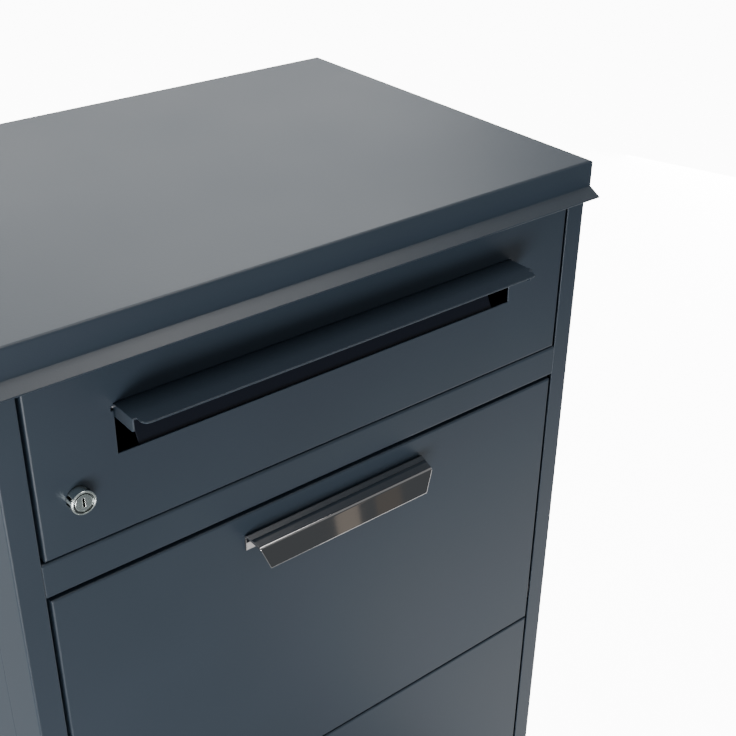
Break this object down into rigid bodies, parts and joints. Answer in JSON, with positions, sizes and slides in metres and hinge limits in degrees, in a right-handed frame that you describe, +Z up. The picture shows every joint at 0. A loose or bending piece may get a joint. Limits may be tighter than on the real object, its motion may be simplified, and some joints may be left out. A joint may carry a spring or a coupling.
{
  "type": "parcel and letter drop box",
  "caption": "Free-standing sheet-steel drop box with hooded letter slot, lockable letter door, pull-down parcel flap and lockable collection door.",
  "frame": {"origin": "on the ground, at the middle of the cabinet's footprint (body without the parts that stand out in front)", "axes": "+Z up, -Y towards the front with the doors, +X to the right seen from the front"},
  "size_m": [0.503, 0.3877, 0.95],
  "materials": {
    "body_paint": "satin anthracite powder coat, fine texture",
    "inner_paint": "satin anthracite powder coat",
    "handle_steel": "mirror-polished stainless steel",
    "lock_chrome": "bright chrome plate",
    "zinc": "zinc-plated steel",
    "black_steel": "black oxide steel",
    "rubber": "matt black rubber",
    "nylon": "black nylon"
  },
  "bodies": {
    "cabinet": {"front_post_left": "body_paint", "front_post_right": "body_paint", "side_panel_left": "body_paint", "side_panel_right": "body_paint", "back_panel": "body_paint", "base_pan": "inner_paint", "plinth_front": "body_paint", "head_rail": "body_paint", "front_rail": "body_paint", "roof_cap": "body_paint", "roof_screws": "zinc", "letter_shelf": "inner_paint", "parcel_baffle": "inner_paint", "letter_strike": "inner_paint", "lower_strike": "inner_paint", "letter_door_pivots": "zinc", "lower_door_pivots": "zinc", "lower_hinge_bracket": "zinc", "flap_pivot_brackets": "zinc", "flap_pivot_pins": "black_steel", "flap_stop_buffers": "rubber", "door_buffers": "rubber", "seam_rivets": "zinc", "back_screws": "zinc"},
    "letter_door_body": {"letter_door": "body_paint", "slot_frame": "inner_paint", "slot_rivets": "zinc", "inner_rod": "zinc", "letter_lock_housing": "lock_chrome", "letter_lock_nut": "zinc"},
    "letter_lock_rotor": {"letter_lock_plug": "lock_chrome", "letter_lock_cam": "zinc", "letter_cam_screw": "zinc"},
    "hood_body": {"hood_flap": "body_paint", "hood_pins": "zinc"},
    "inner_flap_body": {"inner_flap": "inner_paint"},
    "parcel_flap_body": {"parcel_flap": "body_paint", "bucket_cheek_left": "inner_paint", "bucket_cheek_right": "inner_paint", "bucket_floor": "inner_paint", "pull_handle": "handle_steel", "handle_screws": "zinc", "bucket_rivets": "zinc", "flap_bush_left": "nylon", "flap_bush_right": "nylon"},
    "lower_door_body": {"lower_door": "body_paint", "lower_stiffener": "inner_paint", "lower_lock_housing": "lock_chrome", "lower_lock_nut": "zinc"},
    "lower_lock_rotor": {"lower_lock_plug": "lock_chrome", "lower_lock_cam": "zinc", "lower_cam_screw": "zinc"}
  },
  "joints": [
    {"name": "letter_door_hinge", "type": "hinge", "parent": "cabinet", "child": "letter_door_body", "pos_m": [0.2215, -0.17, 0.85], "axis": [0, 0, 1], "range_deg": [0, 95]},
    {"name": "letter_lock_turn", "type": "hinge", "parent": "letter_door_body", "child": "letter_lock_rotor", "pos_m": [-0.2011, -0.176, 0.8303], "axis": [0, -1, 0], "range_deg": [0, 90]},
    {"name": "hood_hinge", "type": "hinge", "parent": "letter_door_body", "child": "hood_body", "pos_m": [0, -0.1732, 0.8842], "axis": [1, 0, 0], "range_deg": [-6, 87]},
    {"name": "inner_flap_hinge", "type": "hinge", "parent": "letter_door_body", "child": "inner_flap_body", "pos_m": [0, -0.156, 0.8842], "axis": [1, 0, 0], "range_deg": [0, 55]},
    {"name": "parcel_flap_hinge", "type": "hinge", "parent": "cabinet", "child": "parcel_flap_body", "pos_m": [0, -0.169, 0.526], "axis": [1, 0, 0], "range_deg": [0, 45]},
    {"name": "lower_door_hinge", "type": "hinge", "parent": "cabinet", "child": "lower_door_body", "pos_m": [0.2215, -0.17, 0.26], "axis": [0, 0, 1], "range_deg": [0, 95]},
    {"name": "lower_lock_turn", "type": "hinge", "parent": "lower_door_body", "child": "lower_lock_rotor", "pos_m": [-0.2011, -0.176, 0.4344], "axis": [0, -1, 0], "range_deg": [0, 90]}
  ]
}
